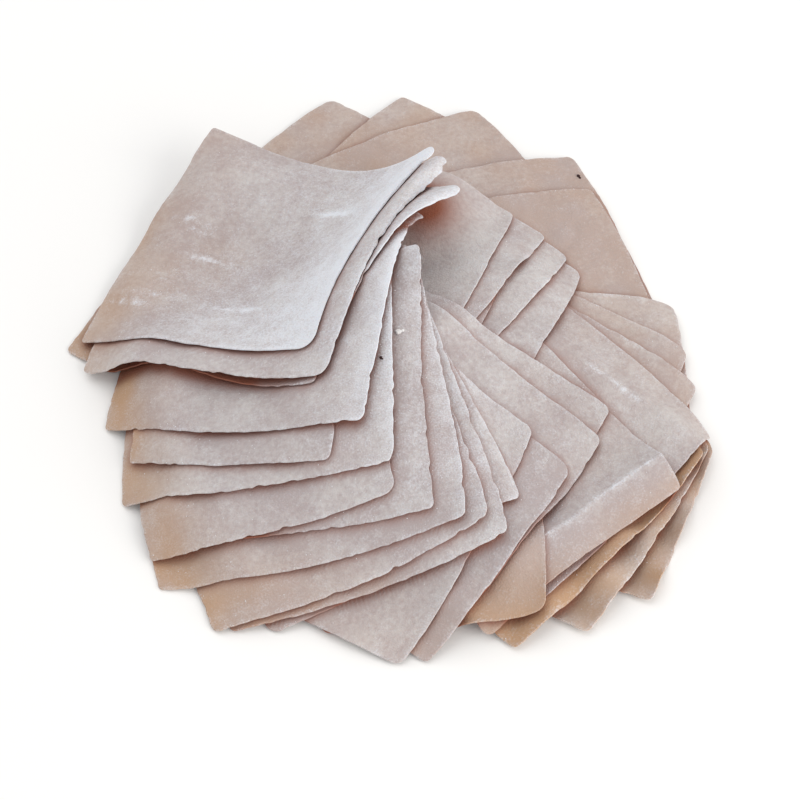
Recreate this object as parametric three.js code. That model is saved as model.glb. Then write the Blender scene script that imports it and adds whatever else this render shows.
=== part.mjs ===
// A stack of square dumpling wrappers: thin sheets of floured dough, laid one over the other by hand
// and fanned round a hub. All of them overlap at the hub, so the stack is a low cone there,
// and each sheet droops from it over the sheets below, out to the table.
import * as THREE from "three";

// The wrapper, in millimetres.
const SIDE = 96;
const THICKNESS = 0.7;
const CUT_ERROR = 1.8; // how far a corner may stray from the true square
const EDGE_BOW = 0.9; // how far the middle of an edge may bow in or out
const CORNER_PULL = 0.05; // how far a corner is rounded in, as a share of half the side
const CELLS = 8; // cells along a side of the sheet's grid

// How the sheets lie, in millimetres.
const CLEARANCE = 0.33; // loose flour and air between two sheets, measured upright
const CURL_REACH = 46; // how far from its inner corner a dried sheet starts to lift
const RAISE_REACH = 72; // the same for the back corner of the uppermost sheet
const DROOP_FROM = -0.1; // where on a sheet its drooping outer part starts, from 0 at the middle to 1
const RIPPLE_LENGTH = 34; // from crest to crest along a ruffled edge

// The settling of one sheet on those below it.
const SETTLE_STEPS = 260;
const FALL = 0.5; // how far a sheet sinks in its first step, in millimetres
const WEIGHT = 0.2; // how far it sinks in its last step
const STRETCH_PASSES = 3;
const STIFFNESS = 0.08;
const SAMPLES = 5; // contact points along a triangle's edge
const RELIEF_HALF = 170; // half the width of the height map, in millimetres
const RELIEF_EDGE = 1.3; // how far past its edge a sheet is felt by the next one

const DOUGH = new THREE.Color(0xcdbeb8);
const SEED = 20;

// The sheets from the table up. Each row of a fan is the way that the sheet's outer corner points,
// in degrees from +X, the place of its middle in millimetres and, where it isn't a full one, its share
// of the side. The first turn starts at the back and goes round by the right to the front and left,
// and the later fans lie over it in the same sense. A fan's other values are millimetres or shares:
// ripple is the height of the waves along its outer edges and lean is how far its sheets are out of square.
// One value for each sheet: curl and raise are how far its inner and its back corner lift, drawnIn is how
// far its inner edge is drawn in and droop is how far its outer edge hangs down.
const FANS = [
  { name: "back", lay: [[95, -21, 83], [98, 8, 84], [72, 9, 81], [63, 32, 60], [62, 38, 43]] },
  { name: "right", lay: [[44, 49, 7, 0.92], [284, 33, 11], [280, 33, 3]] },
  { name: "low_right", ripple: 2.6, lay: [[290, 58, -24, 0.67], [281, 44, -21, 0.89], [272, 31, -18]] },
  { name: "spread", ripple: 1.2, lay: [[270, 37, -5], [262, 31, -23, 0.88], [318, 7, -39, 0.75]] },
  { name: "low_left", lay: [[240, -22, -20, 0.78], [228, -18, -6, 0.74], [216, -16, 8, 0.7]] },
  {
    name: "inner",
    lay: [[198, 3, 41], [194, 7, 55, 0.8], [204, -16, 38, 0.94], [197, 6, 62, 0.72], [204, 1, 65, 0.68]],
  },
  {
    name: "front",
    curl: [3],
    lay: [[281, 6, -13], [275, 4, -20, 0.96], [276, 0, -29, 0.88], [283, -16, -25], [252, -20, -17]],
  },
  {
    name: "left",
    stiffness: 0.4,
    weight: 0.1,
    curl: [2],
    droop: [10, 10, 10, 10, 10, 10, 8, 14],
    lay: [[240, -23, -21], [241, -27, -19], [232, -33, -9, 1.06], [223, -32, -3], [233, -45, -8, 0.9],
      [223, -43, 13, 1.05], [213, -47, 10, 0.78], [211, -44, 33, 1.07]],
  },
  {
    name: "top",
    stiffness: 0.5,
    weight: 0.12,
    lean: 0.06,
    drawnIn: [7, 7, 7, 10],
    curl: [10, 3, 8, 5],
    raise: [0, 0, 0, 19],
    droop: [10, 10, 14, 14],
    lay: [[198, -42, 47, 1.05], [199, -47, 54, 1.04], [203, -42, 49, 1.05], [201, -46, 59, 1.04]],
  },
];

// A repeatable draw of numbers from -1 to 1.
let drawState = SEED;
function draw() {
  drawState = (drawState + 0x6d2b79f5) | 0;
  let t = Math.imul(drawState ^ (drawState >>> 15), 1 | drawState);
  t = (t + Math.imul(t ^ (t >>> 7), 61 | t)) ^ t;
  return ((t ^ (t >>> 14)) >>> 0) / 2147483648 - 1;
}

const ROW = CELLS + 1;
const node = (i, j) => i * ROW + j;

// The grid that every sheet shares: its triangles, the links that keep its lengths and the
// threes of points in line that resist bending. Neighbouring cells are split along opposite diagonals.
function sheetGrid() {
  const triangles = [];
  const links = [];
  const bends = [];
  for (let i = 0; i < ROW; i++) {
    for (let j = 0; j < ROW; j++) {
      if (i < CELLS) links.push([node(i, j), node(i + 1, j)]);
      if (j < CELLS) links.push([node(i, j), node(i, j + 1)]);
      if (i < CELLS - 1) bends.push([node(i, j), node(i + 1, j), node(i + 2, j)]);
      if (j < CELLS - 1) bends.push([node(i, j), node(i, j + 1), node(i, j + 2)]);
      if (i === CELLS || j === CELLS) continue;
      const [a, b, c, d] = [node(i, j), node(i + 1, j), node(i + 1, j + 1), node(i, j + 1)];
      links.push([a, c], [b, d]);
      if ((i + j) % 2) triangles.push([a, b, c], [a, c, d]);
      else triangles.push([a, b, d], [b, c, d]);
    }
  }
  return { triangles, links, bends };
}
const GRID = sheetGrid();

// The points of the rim in order, counterclockwise.
function rimNodes() {
  const rim = [];
  for (let k = 0; k < CELLS; k++) rim.push(node(k, 0));
  for (let k = 0; k < CELLS; k++) rim.push(node(CELLS, k));
  for (let k = CELLS; k > 0; k--) rim.push(node(k, CELLS));
  for (let k = CELLS; k > 0; k--) rim.push(node(0, k));
  return rim;
}
const RIM = rimNodes();

// Where on a sheet a point is, from -1 to 1 along each side. The inner corner is at -1, -1.
const along = (k) => (2 * k) / CELLS - 1;

// A sheet as cut, flat: a square with uneven corners and slightly bowed edges.
function cutSheet(share, lean, drawnIn) {
  const half = (share * SIDE) / 2;
  const corners = Array.from({ length: 4 }, () => [CUT_ERROR * draw(), CUT_ERROR * draw()]);
  const bows = Array.from({ length: 4 }, () => EDGE_BOW * draw());
  const flat = [];
  for (let i = 0; i < ROW; i++) {
    for (let j = 0; j < ROW; j++) {
      const u = along(i);
      const v = along(j);
      const parts = [(1 - u) * (1 - v), (1 + u) * (1 - v), (1 + u) * (1 + v), (1 - u) * (1 + v)];
      const pull = 1 - CORNER_PULL * u ** 4 * v ** 4;
      let x = half * u * pull;
      let y = half * v * pull;
      parts.forEach((part, k) => {
        x += (part / 4) * corners[k][0];
        y += (part / 4) * corners[k][1];
      });
      x += (1 - v * v) * (((1 + u) / 2) * bows[0] + ((1 - u) / 2) * bows[1]);
      y += (1 - u * u) * (((1 + v) / 2) * bows[2] + ((1 - v) / 2) * bows[3]);
      x += drawnIn * (1 - v * v) * ((1 - u) / 2) ** 2;
      flat.push(new THREE.Vector3(x + lean * y, y + lean * x, 0));
    }
  }
  return flat;
}

// The lowest height that the middle of the next sheet may have, on a grid of one millimetre.
const RELIEF_SIZE = 2 * RELIEF_HALF + 1;
const relief = new Float64Array(RELIEF_SIZE * RELIEF_SIZE).fill(THICKNESS / 2);

function reliefAt(x, y) {
  const column = Math.floor(x + RELIEF_HALF);
  const line = Math.floor(y + RELIEF_HALF);
  const fx = x + RELIEF_HALF - column;
  const fy = y + RELIEF_HALF - line;
  const at = line * RELIEF_SIZE + column;
  const near = relief[at] * (1 - fx) + relief[at + 1] * fx;
  const far = relief[at + RELIEF_SIZE] * (1 - fx) + relief[at + RELIEF_SIZE + 1] * fx;
  return near * (1 - fy) + far * fy;
}

// Calls back with every point of the height map that a sheet covers, and the sheet's height there.
// The sheet counts as wider than it is by the spare.
function eachCovered(points, spare, call) {
  for (const corners of GRID.triangles) {
    const [a, b, c] = corners.map((k) => points[k]);
    const twice = (b.x - a.x) * (c.y - a.y) - (c.x - a.x) * (b.y - a.y);
    const slack = [b.distanceTo(c), c.distanceTo(a), a.distanceTo(b)].map((e) => (spare * e) / twice);
    const low = (axis) => Math.floor(Math.min(a[axis], b[axis], c[axis]) - spare);
    const high = (axis) => Math.ceil(Math.max(a[axis], b[axis], c[axis]) + spare);
    for (let y = low("y"); y <= high("y"); y++) {
      for (let x = low("x"); x <= high("x"); x++) {
        const wa = ((b.x - x) * (c.y - y) - (c.x - x) * (b.y - y)) / twice;
        const wb = ((c.x - x) * (a.y - y) - (a.x - x) * (c.y - y)) / twice;
        const wc = 1 - wa - wb;
        if (wa < -slack[0] || wb < -slack[1] || wc < -slack[2]) continue;
        const z = Math.min(wa * a.z + wb * b.z + wc * c.z, Math.max(a.z, b.z, c.z));
        call((y + RELIEF_HALF) * RELIEF_SIZE + x + RELIEF_HALF, z + THICKNESS + CLEARANCE);
      }
    }
  }
}

// Adds a settled sheet to the height map, a little wider than it is all round.
function raiseRelief(points) {
  const inside = new Set();
  eachCovered(points, 0, (at, z) => {
    inside.add(at);
    relief[at] = Math.max(relief[at], z);
  });
  eachCovered(points, RELIEF_EDGE, (at, z) => {
    if (!inside.has(at)) relief[at] = Math.max(relief[at], z);
  });
}

// Contact points of a triangle, as shares of its three corners: the corners first, then the rest.
const CONTACTS = [];
for (let a = 0; a <= SAMPLES; a++) {
  for (let b = 0; a + b <= SAMPLES; b++) {
    CONTACTS.push([a / SAMPLES, b / SAMPLES, (SAMPLES - a - b) / SAMPLES]);
  }
}
CONTACTS.sort((one, other) => Math.max(...other) - Math.max(...one));

// Lifts a sheet off whatever it has sunk into.
function holdUp(points) {
  for (const corners of GRID.triangles) {
    const [a, b, c] = corners.map((k) => points[k]);
    for (const [wa, wb, wc] of CONTACTS) {
      const x = wa * a.x + wb * b.x + wc * c.x;
      const y = wa * a.y + wb * b.y + wc * c.y;
      const short = reliefAt(x, y) - (wa * a.z + wb * b.z + wc * c.z);
      if (short <= 0) continue;
      const push = short / (wa * wa + wb * wb + wc * wc);
      a.z += push * wa;
      b.z += push * wb;
      c.z += push * wc;
    }
  }
}

// Pulls linked points back to their distance in the flat sheet.
const gap = new THREE.Vector3();
function keepLengths(points, lengths) {
  GRID.links.forEach(([a, b], k) => {
    gap.subVectors(points[b], points[a]);
    const now = gap.length();
    if (now < lengths[k]) return;
    gap.multiplyScalar((now - lengths[k]) / (2 * now));
    points[a].add(gap);
    points[b].sub(gap);
  });
}

// Draws each three of points towards a straight line.
function keepStraight(points, stiffness) {
  for (const [a, b, c] of GRID.bends) {
    gap.addVectors(points[a], points[c]).multiplyScalar(0.5).sub(points[b]);
    gap.multiplyScalar(stiffness / 2);
    points[b].add(gap);
    gap.multiplyScalar(0.5);
    points[a].sub(gap);
    points[c].sub(gap);
  }
}

// Lets a sheet sink on to what lies below until its weight and its stiffness agree.
function settle(points, lengths, stiffness, weight) {
  const under = points.map((p) => reliefAt(p.x, p.y));
  const highest = Math.max(...under);
  for (const p of points) p.z = highest;
  if (highest === Math.min(...under)) return;
  for (let step = 0; step < SETTLE_STEPS; step++) {
    const sink = weight + (FALL - weight) * (1 - step / SETTLE_STEPS);
    for (const p of points) p.z -= sink;
    for (let pass = 0; pass < STRETCH_PASSES; pass++) keepLengths(points, lengths);
    keepStraight(points, stiffness);
    holdUp(points);
  }
  holdUp(points);
}

// A dried corner that lifts in a curve.
function liftCorner(points, corner, height, reach) {
  const tip = points[corner].clone();
  for (const p of points) {
    const near = Math.max(0, 1 - p.distanceTo(tip) / reach);
    p.z += height * near * near;
  }
}

// An outer edge that hangs down past what carries the rest of the sheet.
function droopEdge(points, depth) {
  for (let i = 0; i < ROW; i++) {
    const near = Math.max(0, (along(i) - DROOP_FROM) / (1 - DROOP_FROM));
    for (let j = 0; j < ROW; j++) {
      const p = points[node(i, j)];
      p.z = Math.max(p.z - depth * near * near, reliefAt(p.x, p.y));
    }
  }
  for (let pass = 0; pass < STRETCH_PASSES; pass++) holdUp(points);
}

// Outer edges that have dried in waves.
function ruffleEdges(points, ripple) {
  const start = Math.PI * draw();
  for (let i = 0; i < ROW; i++) {
    for (let j = 0; j < ROW; j++) {
      const outer = Math.max(along(i), along(j), 0) ** 2;
      const walk = ((i - j) * SIDE) / CELLS;
      const wave = (1 + Math.sin((2 * Math.PI * walk) / RIPPLE_LENGTH + start)) / 2;
      points[node(i, j)].z += ripple * outer * wave;
    }
  }
}

// The solid of a settled sheet: both faces split alike, with a rim between them.
function sheetSolid(points, middle) {
  const count = points.length;
  const positions = [];
  for (const side of [1, -1]) {
    for (const p of points) {
      positions.push(p.x - middle.x, p.y - middle.y, p.z - middle.z + (side * THICKNESS) / 2);
    }
  }
  const faces = [];
  for (const [a, b, c] of GRID.triangles) {
    faces.push(a, b, c, c + count, b + count, a + count);
  }
  RIM.forEach((a, k) => {
    const b = RIM[(k + 1) % RIM.length];
    faces.push(a, a + count, b, b, a + count, b + count);
  });
  const geometry = new THREE.BufferGeometry();
  geometry.setAttribute("position", new THREE.Float32BufferAttribute(positions, 3));
  geometry.setIndex(faces);
  geometry.computeVertexNormals();
  return geometry;
}

const UPRIGHT = new THREE.Vector3(0, 0, 1);

function layWrapper(fan, k) {
  const [turn, x, y, share = 1] = fan.lay[k];
  const { stiffness = STIFFNESS, weight = WEIGHT, lean = 0, ripple = 0 } = fan;
  const { drawnIn = [], curl = [], raise = [], droop = [] } = fan;
  const flat = cutSheet(share, lean, drawnIn[k] ?? 0);
  const lengths = GRID.links.map(([a, b]) => flat[a].distanceTo(flat[b]));
  const spin = THREE.MathUtils.degToRad(turn - 45);
  const points = flat.map((p) => p.clone().applyAxisAngle(UPRIGHT, spin));
  for (const p of points) p.add(new THREE.Vector3(x, y, 0));
  settle(points, lengths, stiffness, weight);
  if (droop[k]) droopEdge(points, droop[k]);
  if (curl[k]) liftCorner(points, node(0, 0), curl[k], CURL_REACH);
  if (raise[k]) liftCorner(points, node(CELLS, 0), raise[k], RAISE_REACH);
  if (ripple) ruffleEdges(points, ripple);
  raiseRelief(points);
  const middle = points[node(CELLS >> 1, CELLS >> 1)].clone();
  const material = new THREE.MeshStandardMaterial({ color: DOUGH, roughness: 0.92, metalness: 0 });
  const mesh = new THREE.Mesh(sheetSolid(points, middle), material);
  mesh.position.copy(middle);
  return mesh;
}

const stack = new THREE.Group();
for (const fan of FANS) {
  fan.lay.forEach((row, k) => {
    const wrapper = layWrapper(fan, k);
    wrapper.name = `${fan.name}_wrapper_${k + 1}`;
    stack.add(wrapper);
  });
}

// The origin is under the middle of the stack, on the table.
const box = new THREE.Box3().setFromObject(stack, true);
const centre = box.getCenter(new THREE.Vector3());
stack.position.set(-centre.x, -centre.y, -box.min.z);

export default stack;
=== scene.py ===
import math
import bmesh
import bpy
import numpy as np
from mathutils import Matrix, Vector


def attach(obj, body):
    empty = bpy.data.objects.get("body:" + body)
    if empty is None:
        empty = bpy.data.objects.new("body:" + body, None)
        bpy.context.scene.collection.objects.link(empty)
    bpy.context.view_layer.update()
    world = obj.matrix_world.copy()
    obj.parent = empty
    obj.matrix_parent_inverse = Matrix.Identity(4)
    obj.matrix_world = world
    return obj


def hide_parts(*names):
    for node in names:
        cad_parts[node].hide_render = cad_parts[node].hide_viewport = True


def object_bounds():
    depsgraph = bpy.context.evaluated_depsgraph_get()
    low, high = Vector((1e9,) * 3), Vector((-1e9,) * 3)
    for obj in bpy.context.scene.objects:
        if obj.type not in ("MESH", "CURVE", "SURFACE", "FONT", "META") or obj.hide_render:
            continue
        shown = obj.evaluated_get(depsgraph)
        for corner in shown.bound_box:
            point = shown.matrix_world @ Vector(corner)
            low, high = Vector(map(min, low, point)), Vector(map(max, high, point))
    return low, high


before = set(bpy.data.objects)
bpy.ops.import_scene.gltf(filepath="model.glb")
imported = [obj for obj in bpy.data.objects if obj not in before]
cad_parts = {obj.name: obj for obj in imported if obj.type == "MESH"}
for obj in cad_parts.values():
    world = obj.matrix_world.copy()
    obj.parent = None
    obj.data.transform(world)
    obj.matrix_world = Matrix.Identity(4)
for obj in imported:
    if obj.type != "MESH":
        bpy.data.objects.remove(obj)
CAD_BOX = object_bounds()

# Back fan
# Five square wrappers, dealt out first, lying nearly flat on the table behind all the others.
# Wheat dough rolled thin, cut square and dusted with flour: soft, matt, a little translucent.
# Each is laid on those below it, so its fine ripples follow them and nothing is fixed.
MM = 0.001
CELLS = 8
FINE = 100
DENSE = 400
SHEET = 0.7 * MM
MERGE = 0.01 * MM
STEEP = 0.05
AIR = 0.05 * MM
RELIEF_CELL = 0.4 * MM
RELIEF_MARGIN = 20 * MM
FINER = 3
SOFTEN_STEPS = 24
RIM_SWELL = 0.22 * MM
SHARP_TURN = math.radians(40)
CORNER_CHANCE = (0.6, 1.4)
TEAR_MEAN = 0.6
TEAR_REACH = 4.5 * MM
SAG = 0.5
SAG_SIZE = 21 * MM
NICK = 1.4
NICK_FEW = 0.45
NICK_SIZE = 3.7 * MM
FRAY = 0.22
FRAY_SIZE = 1.9 * MM
RIPPLE = 0.16 * MM
RIPPLE_SIZE = 19 * MM
LIFT = 0.3 * MM
LIFT_REACH = 9 * MM
LIFT_SIZE = 23 * MM
WRINKLE_SIZE = 9 * MM
CRUMPLE = 0.5
CRUMPLE_SIZE = 4 * MM
RIM_FLOUR = 0.2
RIM_BAND = 1.6 * MM
# Painted warm shade: a tan laid on where a wrapper lies near the table, fading out between these heights, in
# patches of about this size.
WARM_SHADE_LOW = 1 * MM
WARM_SHADE_HIGH = 16 * MM
WARM_SHADE_MEAN = 0.75
WARM_SHADE_PATCHES = 0.3
WARM_SHADE_SIZE = 9 * MM
TONE_CHANCE = 0.05
LATTICE = 64
BACK_TONE = (0.12, 0.12, 0.12, 0.24, 0.18)


def net_of(node, pointing):
    """The middle of a wrapper's solid as a square net of points, with its outer corner last."""
    net = bmesh.new()
    net.from_mesh(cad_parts[node].data)
    bmesh.ops.remove_doubles(net, verts=net.verts[:], dist=MERGE)
    net.normal_update()
    bmesh.ops.delete(net, geom=[f for f in net.faces if f.normal.z < STEEP], context="FACES")

    def slant(edge):
        """How much longer an edge is than the other sides of its two triangles."""
        sides = [e.calc_length() for f in edge.link_faces for e in f.edges if e != edge]
        return edge.calc_length() / sum(sides)

    paired = set()
    diagonals = []
    for edge in sorted((e for e in net.edges if len(e.link_faces) == 2), key=slant, reverse=True):
        if not paired.intersection(edge.link_faces):
            paired.update(edge.link_faces)
            diagonals.append(edge)
    bmesh.ops.dissolve_edges(net, edges=diagonals, use_verts=False)

    way = Vector((math.cos(math.radians(pointing)), math.sin(math.radians(pointing)), 0))
    outer = max((v for v in net.verts if len(v.link_faces) == 1), key=lambda v: v.co.dot(way))
    loop = next(k for k in outer.link_faces[0].loops if k.vert == outer)
    place = {outer: (CELLS, CELLS), loop.link_loop_next.vert: (CELLS - 1, CELLS)}
    waiting = [loop]
    done = set()
    while waiting:
        loop = waiting.pop()
        if loop.face in done:
            continue
        done.add(loop.face)
        for _ in range(4):
            start, end = place[loop.vert], place[loop.link_loop_next.vert]
            beyond = loop.link_loop_next.link_loop_next.vert
            place.setdefault(beyond, (end[0] - end[1] + start[1], end[1] + end[0] - start[0]))
            loop = loop.link_loop_next
            if loop.link_loop_radial_next.face not in done:
                waiting.append(loop.link_loop_radial_next)
    points = np.zeros((CELLS + 1, CELLS + 1, 3))
    for vert, (i, j) in place.items():
        points[i, j] = vert.co
    net.free()
    points[..., 2] -= SHEET / 2
    return points


def spline_rows(knots, places):
    """Weights that run a smooth curve through evenly spaced knots, one row for each place on it."""
    bend = np.eye(knots)
    change = np.zeros((knots, knots))
    for k in range(1, knots - 1):
        bend[k, k - 1 : k + 2] = 1, 4, 1
        change[k, k - 1 : k + 2] = 6, -12, 6
    curve = np.linalg.solve(bend, change)
    unit = np.eye(knots)
    k = np.clip(np.floor(places), 0, knots - 2).astype(int)
    b = (places - k)[:, None]
    a = 1 - b
    return a * unit[k] + b * unit[k + 1] + ((a**3 - a) * curve[k] + (b**3 - b) * curve[k + 1]) / 6


def linear_rows(count, parts):
    """Weights that split each step of a row of points into equal parts."""
    places = np.arange((count - 1) * parts + 1) / parts
    k = np.minimum(places.astype(int), count - 2)
    unit = np.eye(count)
    return (1 - places + k)[:, None] * unit[k] + (places - k)[:, None] * unit[k + 1]


def split_net(rows, net):
    """A net of points split more finely both ways by the same rows of weights."""
    half = np.einsum("ai,ijk->ajk", rows, net, optimize=True)
    return np.einsum("bj,ajk->abk", rows, half, optimize=True)


def cloud(x, y, size, seed):
    """Smooth noise from -1 to 1 with lumps of about that size."""
    lattice = np.random.RandomState(seed).uniform(-1, 1, (LATTICE, LATTICE))
    i = np.floor(x / size).astype(int)
    j = np.floor(y / size).astype(int)
    s = x / size - i
    t = y / size - j
    s = s * s * (3 - 2 * s)
    t = t * t * (3 - 2 * t)

    def at(di, dj):
        return lattice[(i + di) % LATTICE, (j + dj) % LATTICE]

    return (at(0, 0) * (1 - s) + at(1, 0) * s) * (1 - t) + (at(0, 1) * (1 - s) + at(1, 1) * s) * t


def smooth_step(value, low, high):
    """0 below low, 1 above high, and an easy rise between."""
    share = np.clip((value - low) / (high - low), 0, 1)
    return share * share * (3 - 2 * share)


def neighbour_mean(values):
    """The mean of the four neighbours of each point of a net."""
    wide = np.pad(values, 1, mode="edge")
    return (wide[:-2, 1:-1] + wide[2:, 1:-1] + wide[1:-1, :-2] + wide[1:-1, 2:]) / 4


def trimmed(side, corners, tear, seed):
    """Where the points of an even square net lie once its corners are rounded and its edges torn."""
    even = np.linspace(0, side, FINE + 1)
    x, y = np.meshgrid(even, even, indexing="ij")
    radii = iter(np.random.RandomState(seed).uniform(*CORNER_CHANCE, 4) * corners)
    for far_x in (False, True):
        for far_y in (False, True):
            a = side - x if far_x else x
            b = side - y if far_y else y
            inset = np.minimum(a, b)
            run = np.maximum(a, b) - inset
            radius = np.maximum(next(radii) - inset, MERGE)
            turn = np.clip(1 - run / radius, 0, 1) * math.pi / 4
            along = inset + radius * (1 - np.sin(turn))
            across = inset + radius * (1 - np.cos(turn))
            near = run < radius
            a_new = np.where(near, np.where(a > b, along, across), a)
            b_new = np.where(near, np.where(a > b, across, along), b)
            x = side - a_new if far_x else a_new
            y = side - b_new if far_y else b_new
    for edge in range(4):
        run, depth = ((y, x), (y, side - x), (x, y), (x, side - y))[edge]
        sag = SAG * cloud(run, edge * side, SAG_SIZE, seed + 1)
        nick = NICK * np.clip(cloud(run, edge * side, NICK_SIZE, seed + 2) - NICK_FEW, 0, None)
        torn = TEAR_MEAN + sag + nick + FRAY * cloud(run, edge * side, FRAY_SIZE, seed + 5)
        torn = np.clip(torn, 0, None) * tear * np.clip(1 - depth / TEAR_REACH, 0, 1) ** 2
        if edge < 2:
            x = x + torn * (1 - 2 * edge)
        else:
            y = y + torn * (5 - 2 * edge)
    return x, y


relief_corner = np.array(CAD_BOX[0][:2]) - RELIEF_MARGIN
relief_span = np.array(CAD_BOX[1][:2]) + RELIEF_MARGIN - relief_corner
relief = np.zeros(np.ceil(relief_span / RELIEF_CELL).astype(int) + 1)
SPLIT = linear_rows(FINE + 1, FINER)


def relief_cells(points):
    """The cells of the height map that lie under these points."""
    cells = np.rint((points[..., :2] - relief_corner) / RELIEF_CELL).astype(int)
    return np.clip(cells[..., 0], 0, relief.shape[0] - 1), np.clip(cells[..., 1], 0, relief.shape[1] - 1)


def lay_down(points):
    """Raises a wrapper just clear of what is already laid, softly, and adds it to the height map."""
    split = split_net(SPLIT, points)
    short = relief[relief_cells(split)] + SHEET / 2 + AIR - split[..., 2]
    padded = np.pad(short, FINER, mode="edge")
    steps = range(2 * FINER + 1)
    rows = np.maximum.reduce([padded[k : k + short.shape[0]] for k in steps])
    need = np.maximum.reduce([rows[:, k : k + short.shape[1]] for k in steps])[::FINER, ::FINER]
    push = np.maximum(need, 0)
    for _ in range(SOFTEN_STEPS):
        push = np.maximum(np.maximum(need, 0), neighbour_mean(push))
    laid = points.copy()
    laid[..., 2] += push
    split = split_net(SPLIT, laid)
    np.maximum.at(relief, relief_cells(split), split[..., 2] + SHEET / 2)
    return laid


def sheet_faces():
    """Corner numbers of a wrapper's faces: upper side, under side, and a rim with a rounded middle."""
    count = FINE + 1
    number = np.arange(count * count).reshape(count, count)
    cell = [number[:-1, :-1], number[1:, :-1], number[1:, 1:], number[:-1, 1:]]
    upper = np.stack(cell, -1).reshape(-1, 4)
    under = upper[:, ::-1] + count * count
    rim = np.concatenate([number[:-1, 0], number[-1, :-1], number[:0:-1, -1], number[0, :0:-1]])
    middle = 2 * count * count + np.arange(len(rim))
    turned = np.roll(rim, -1)
    middle_turned = np.roll(middle, -1)
    above = np.stack([middle, middle_turned, turned, rim], -1)
    below = np.stack([rim + count * count, turned + count * count, middle_turned, middle], -1)
    return np.concatenate([upper, under, above, below]), rim


FACES, RIM = sheet_faces()


def sheet_mesh(name, points):
    """A closed sheet of even thickness about these points, its rim swollen a little."""
    ring = points.reshape(-1, 3)[RIM]
    along = np.roll(ring, -1, 0) - np.roll(ring, 1, 0)
    swell = np.stack([along[:, 1], -along[:, 0], 0 * along[:, 0]], -1)
    swell *= RIM_SWELL / np.maximum(np.linalg.norm(swell, axis=1, keepdims=True), MERGE)
    thick = np.array([0, 0, SHEET / 2])
    body = points.reshape(-1, 3)
    mesh = bpy.data.meshes.new(name)
    mesh.from_pydata(np.concatenate([body + thick, body - thick, ring + swell]).tolist(), [], FACES.tolist())
    mesh.polygons.foreach_set("use_smooth", [True] * len(mesh.polygons))
    mesh.set_sharp_from_angle(angle=SHARP_TURN)
    return mesh


def all_round(values):
    """Values of a wrapper's net, repeated for its under side and its rim."""
    listed = values.reshape((FINE + 1) ** 2, -1)
    return np.concatenate([listed, listed, listed[RIM]])


def put_values(mesh, name, kind, values):
    """A named value for each point of a mesh, for its material to read."""
    key = "vector" if kind == "FLOAT_VECTOR" else "value"
    mesh.attributes.new(name, kind, "POINT").data.foreach_set(key, np.ravel(values).astype(np.float32))


def linear(red, green, blue):
    """A colour given as a screen shows it, in the linear values that the shader takes."""
    parts = [c / 255 for c in (red, green, blue)]
    return (*[c / 12.92 if c <= 0.04045 else ((c + 0.055) / 1.055) ** 2.4 for c in parts], 1)


def add_node(tree, kind, values=None, **settings):
    """A shader or geometry node with its settings and the named inputs' values."""
    made = tree.nodes.new(kind)
    for key, value in settings.items():
        setattr(made, key, value)
    for key, value in (values or {}).items():
        made.inputs[key].default_value = value
    return made


def node_group(name, takes, gives):
    """An empty shader group with named sockets."""
    group = bpy.data.node_groups.new(name, "ShaderNodeTree")
    for label, kind in takes.items():
        group.interface.new_socket(label, in_out="INPUT", socket_type=kind)
    for label, kind in gives.items():
        group.interface.new_socket(label, in_out="OUTPUT", socket_type=kind)
    return group, group.nodes.new("NodeGroupInput"), group.nodes.new("NodeGroupOutput")


def flour_film():
    """Flour lying on dough: fine grains that close up to a film where the amount is high."""
    takes = {"Vector": "NodeSocketVector", "Amount": "NodeSocketFloat"}
    gives = {"Mask": "NodeSocketFloat", "Height": "NodeSocketFloat"}
    group, given, result = node_group("flour_film", takes, gives)
    patch = add_node(group, "ShaderNodeTexNoise", {"Scale": 170, "Detail": 5, "Roughness": 0.65})
    grain = add_node(group, "ShaderNodeTexNoise", {"Scale": 1700, "Detail": 2, "Roughness": 0.6})
    soft = add_node(group, "ShaderNodeMath", {1: 0.6}, operation="MULTIPLY")
    both = add_node(group, "ShaderNodeMath", {1: 0.8}, operation="MULTIPLY_ADD")
    lifted = add_node(group, "ShaderNodeMath", operation="ADD")
    limits = {"From Min": 0.74, "From Max": 1.52, "To Max": 0.92}
    mask = add_node(group, "ShaderNodeMapRange", limits, interpolation_type="SMOOTHSTEP")
    link = group.links.new
    link(given.outputs["Vector"], patch.inputs["Vector"])
    link(given.outputs["Vector"], grain.inputs["Vector"])
    link(grain.outputs["Fac"], both.inputs[0])
    link(patch.outputs["Fac"], soft.inputs[0])
    link(soft.outputs[0], both.inputs[2])
    link(both.outputs[0], lifted.inputs[0])
    link(given.outputs["Amount"], lifted.inputs[1])
    link(lifted.outputs[0], mask.inputs["Value"])
    link(mask.outputs["Result"], result.inputs["Mask"])
    link(both.outputs[0], result.inputs["Height"])
    return group


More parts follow.
